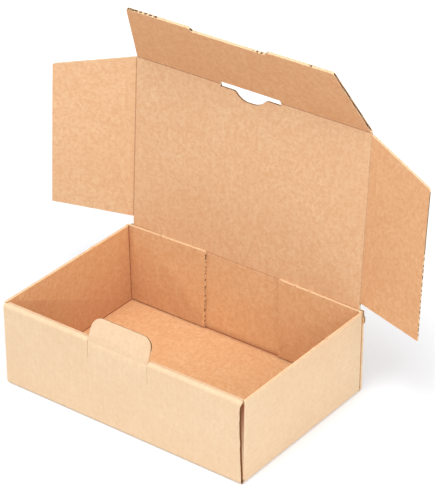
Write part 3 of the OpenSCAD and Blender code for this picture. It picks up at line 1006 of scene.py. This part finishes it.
class MAILER_OT_tuck(bpy.types.Operator):
    """Tuck flap with the shallow recess in its free edge"""

    bl_idname = "mailer.tuck"
    bl_label = "Tuck flap"

    def execute(self, context):
        start = FLAP_CREASE_REACH
        root = HALF_LID - 1 * MM
        long = TUCK_LONG - 0.15 * MM
        tip = root - 20 * MM
        right = [
            (SLOT_HALF, SLOT_IN_TUCK, 1 * MM), (SLOT_HALF, start),
            (root - 20 * MM * start / long, start), (tip, long, 2.5 * MM),
            (49 * MM, long, 2 * MM), (45 * MM, long - 4.5 * MM, 2 * MM)]
        outline = right + mirrored(right)
        grid_x = [x * MM for x in range(-125, 126, 25)]
        grid_y = [y * MM for y in range(15, 81, 13)]
        # The free edge is crushed shut, apart from a few flutes at its left and right
        closed = [(-113, -111), (-107.5, -105), (-101, -99), (-95, -92.5), (-88, -45.2),
                  (-45, 34), (36.5, 39), (42, 45), (49.2, 100), (102, 127)]
        crushed = [(x0 * MM, x1 * MM, long - (CRUSH if abs(x0) > 45.1 else 6 * MM),
                    long + 1 * MM) for x0, x1 in closed]
        cut = cut_board(outline, (), crushed, grid_x, grid_y, seed=71,
                        smooth_from=below(1, start + 1e-6))
        up = LID_UP * math.cos(TUCK_FOLD) + LID_IN * math.sin(TUCK_FOLD)
        inward = LID_IN * math.cos(TUCK_FOLD) - LID_UP * math.sin(TUCK_FOLD)
        base = lid_point(0, LID_LONG, -HALF_BOARD)

        def place(x, y, h):
            return base + ACROSS * x + up * y + inward * h

        # The tuck flap's inner liner is the browner shaded copy: painted shade
        tuck = folded_piece("tuck_flap_panel", cut, place, liner=FLAP_SHADED_LINER)
        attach(tuck, "tuck")
        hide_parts("tuck_flap")
        return {"FINISHED"}


class MAILER_OT_creases(bpy.types.Operator):
    """Crushed strips of board at the four creases that move"""

    bl_idname = "mailer.creases"
    bl_label = "Moving creases"

    def execute(self, context):
        self.lid_crease()
        for side, fold, body in ((-1, LEFT_FOLD, "left_ear"), (1, RIGHT_FOLD, "right_ear")):
            self.ear_crease(side, fold, body)
        self.tuck_crease()
        return {"FINISHED"}

    def strip(self, name, spans, path, place, seed, along_flutes, shade_strength, offset=0.0,
              flip=False):
        """Strip across a crease: spans are its stretches along the crease, and the scored
        line lies at that offset from the middle"""
        whole = bmesh.new()
        for low, high in spans:
            if along_flutes:
                outline = [(0, low), (path.length, low), (path.length, high), (0, high)]
            else:
                outline = [(low, 0), (high, 0), (high, path.length), (low, path.length)]
            cuts = [path.length * i / 12 for i in range(1, 12)]
            piece = cut_board(outline, (), ["all"], cuts if along_flutes else (),
                              () if along_flutes else cuts, seed=seed,
                              smooth_from=lambda e: True)
            copy_into(whole, piece)
            piece.free()
        middle = path.length / 2 + offset
        groove = 0.3 * MM

        def pressed(x, y, h):
            s, t = (x, y) if along_flutes else (y, x)
            press = groove * line(s - middle, 0.8 * MM)
            h = h - math.copysign(press, h) * (1.0 if h > 0 else 0.4)
            return place(t, path.at(s, 0.96 * h))

        # Painted shade along the middle of the crease's inner side
        def dark(x, y, h):
            s = x if along_flutes else y
            return shade_strength * line(s - middle, 0.6 * MM) if h > 0 else 0.0

        return folded_piece(name, whole, pressed, flip, dark)

    def lid_crease(self):
        reach = LID_CREASE_REACH
        lid_end = lid_point(0, reach, -HALF_BOARD)
        path = BentPath([(BACK_Y, LID_CREASE.z - reach), (BACK_Y, LID_CREASE.z),
                         (lid_end.y, lid_end.z)], [60 * MM])
        half = HALF_LID - 0.6 * MM
        piece = self.strip("lid_crease", [(-half, half)], path,
                           lambda t, p: Vector((t, p[0], p[1])), 83, False, 0.25, -2.3 * MM)
        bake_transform(piece)
        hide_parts("lid")

    def ear_crease(self, side, fold, body):
        reach = FLAP_CREASE_REACH
        turn = Vector((math.cos(fold), math.sin(fold))) * reach
        path = BentPath([(-reach, 0), (0, 0), tuple(turn)], [0.9 * reach / math.tan(fold / 2)])
        root = lid_point(side * HALF_LID, 0, -HALF_BOARD)
        node = f"{body}_flap"

        def place(t, p):
            return root + ACROSS * side * p[0] + LID_IN * p[1] + LID_UP * t

        first, last = EAR_SPAN[side]
        piece = self.strip(f"{body}_crease", [(first + 0.1 * MM, last - 0.4 * MM)], path, place,
                           89, True, 0.6 if side < 0 else 0.3, flip=side < 0)
        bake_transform(piece)
        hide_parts(node)

    def tuck_crease(self):
        reach = FLAP_CREASE_REACH
        turn = Vector((math.cos(TUCK_FOLD), math.sin(TUCK_FOLD))) * reach
        path = BentPath([(-reach, 0), (0, 0), tuple(turn)],
                        [0.9 * reach / math.tan(TUCK_FOLD / 2)])
        base = lid_point(0, LID_LONG, -HALF_BOARD)

        def place(t, p):
            return base + ACROSS * t + LID_UP * p[0] + LID_IN * p[1]

        end = HALF_LID - 1.1 * MM
        piece = self.strip("tuck_crease", [(-end, -SLOT_HALF), (SLOT_HALF, end)], path, place,
                           97, False, 0.7)
        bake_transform(piece)
        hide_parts("tuck_flap")


class MAILER_OT_stage(bpy.types.Operator):
    """Camera, soft lamps, even world and a white floor that keeps the box's shadow"""

    bl_idname = "mailer.stage"
    bl_label = "Stage"

    def execute(self, context):
        scene = context.scene
        stage = scene.mailer_stage
        self.camera(scene, stage)
        self.lamp("key_lamp", stage.key, 1.6, Vector((-0.35, -1.9, 2.1)))
        self.lamp("side_lamp", stage.side, 1.4, Vector((2.0, -0.6, 1.2)))
        self.lamp("top_lamp", stage.top, 1.2, Vector((0.1, -0.8, 2.4)))
        self.world(scene, stage)
        self.floor()
        scene.view_settings.view_transform = "Standard"
        return {"FINISHED"}

    def camera(self, scene, stage):
        data = bpy.data.cameras.new("camera")
        data.sensor_fit = "VERTICAL"
        data.sensor_height = 36.0
        data.lens = stage.lens
        data.clip_end = 20.0
        camera = bpy.data.objects.new("camera", data)
        scene.collection.objects.link(camera)
        level = math.cos(stage.elevation)
        back = Vector((math.sin(stage.azimuth) * level, -math.cos(stage.azimuth) * level,
                       math.sin(stage.elevation)))
        right = (-back).cross(Vector((0, 0, 1))).normalized()
        up = right.cross(-back)
        turn = Matrix.Rotation(stage.roll, 3, -back)
        right = turn @ right
        up = turn @ up
        matrix = Matrix((right, up, back)).transposed().to_4x4()
        matrix.translation = Vector(stage.place)
        camera.matrix_world = matrix
        scene.camera = camera

    def lamp(self, name, power, size, place):
        data = bpy.data.lights.new(name, "AREA")
        data.shape = "DISK"
        data.size = size
        data.energy = power
        lamp = bpy.data.objects.new(name, data)
        bpy.context.scene.collection.objects.link(lamp)
        lamp.location = place
        aim = Vector((0, 0, 0.12)) - place
        lamp.rotation_euler = aim.to_track_quat("-Z", "Y").to_euler()

    def world(self, scene, stage):
        world = bpy.data.worlds.new("white_studio")
        tree = blank_tree(world)
        seen = seen_directly(tree)
        light = add(tree, "ShaderNodeBackground", {"Color": (1, 1, 1, 1), "Strength": stage.world})
        white = add(tree, "ShaderNodeBackground", {"Color": (1, 1, 1, 1), "Strength": 1.0})
        mixed = add(tree, "ShaderNodeMixShader", {
            0: seen, 1: light.outputs[0], 2: white.outputs[0]})
        add(tree, "ShaderNodeOutputWorld", {"Surface": mixed.outputs[0]})
        scene.world = world

    def floor(self):
        shape = bmesh.new()
        bmesh.ops.create_grid(shape, x_segments=1, y_segments=1, size=6.0)
        bmesh.ops.translate(shape, vec=(0, 0, -0.2 * MM), verts=shape.verts)
        mesh = bpy.data.meshes.new("studio_floor")
        shape.to_mesh(mesh)
        shape.free()
        material = bpy.data.materials.new("white_studio_floor")
        tree = blank_tree(material)
        seen = seen_directly(tree)
        sheet = add(tree, "ShaderNodeBsdfDiffuse", {"Color": paint("E6E8EC")})
        # The white grows to full strength away from the box, whose shadow stays near it
        place = add(tree, "ShaderNodeTexCoord")
        away = add(tree, "ShaderNodeVectorMath", {0: place.outputs["Object"]}, operation="LENGTH")
        grown = ranged(tree, away.outputs["Value"], 0.2, 1.2, 0.2, 0.6)
        glow = add(tree, "ShaderNodeEmission", {
            "Color": (1, 1, 1, 1), "Strength": grown})
        lit = add(tree, "ShaderNodeAddShader", {0: sheet.outputs[0], 1: glow.outputs[0]})
        mixed = add(tree, "ShaderNodeMixShader", {
            0: seen, 1: sheet.outputs[0], 2: lit.outputs[0]})
        add(tree, "ShaderNodeOutputMaterial", {"Surface": mixed.outputs[0]})
        mesh.materials.append(material)
        floor = bpy.data.objects.new("studio_floor", mesh)
        bpy.context.scene.collection.objects.link(floor)


PIECES = (MAILER_OT_stage, MAILER_OT_strip, MAILER_OT_sides, MAILER_OT_lid, MAILER_OT_ears,
          MAILER_OT_tuck, MAILER_OT_creases)


class MAILER_PT_box(bpy.types.Panel):
    """Settings and steps of the mailer box"""

    bl_label = "Mailer box"
    bl_idname = "MAILER_PT_box"
    bl_space_type = "VIEW_3D"
    bl_region_type = "UI"
    bl_category = "Mailer box"

    def draw(self, context):
        for group in (context.scene.mailer_board, context.scene.mailer_paper,
                      context.scene.mailer_stage):
            box = self.layout.box()
            for name in group.__annotations__:
                box.prop(group, name)
        for operator in PIECES:
            self.layout.operator(operator.bl_idname)


CLASSES = (BoardSettings, PaperSettings, StageSettings, *PIECES, MAILER_PT_box)


def register():
    for item in CLASSES:
        bpy.utils.register_class(item)
    bpy.types.Scene.mailer_board = bpy.props.PointerProperty(type=BoardSettings)
    bpy.types.Scene.mailer_paper = bpy.props.PointerProperty(type=PaperSettings)
    bpy.types.Scene.mailer_stage = bpy.props.PointerProperty(type=StageSettings)


def unregister():
    del bpy.types.Scene.mailer_stage
    del bpy.types.Scene.mailer_paper
    del bpy.types.Scene.mailer_board
    for item in reversed(CLASSES):
        bpy.utils.unregister_class(item)


def main():
    """Registers the add-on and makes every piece"""
    register()
    bpy.ops.mailer.stage()
    bpy.ops.mailer.strip()
    bpy.ops.mailer.sides()
    bpy.ops.mailer.lid()
    bpy.ops.mailer.ears()
    bpy.ops.mailer.tuck()
    bpy.ops.mailer.creases()
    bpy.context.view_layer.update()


if __name__ == "__main__":
    main()
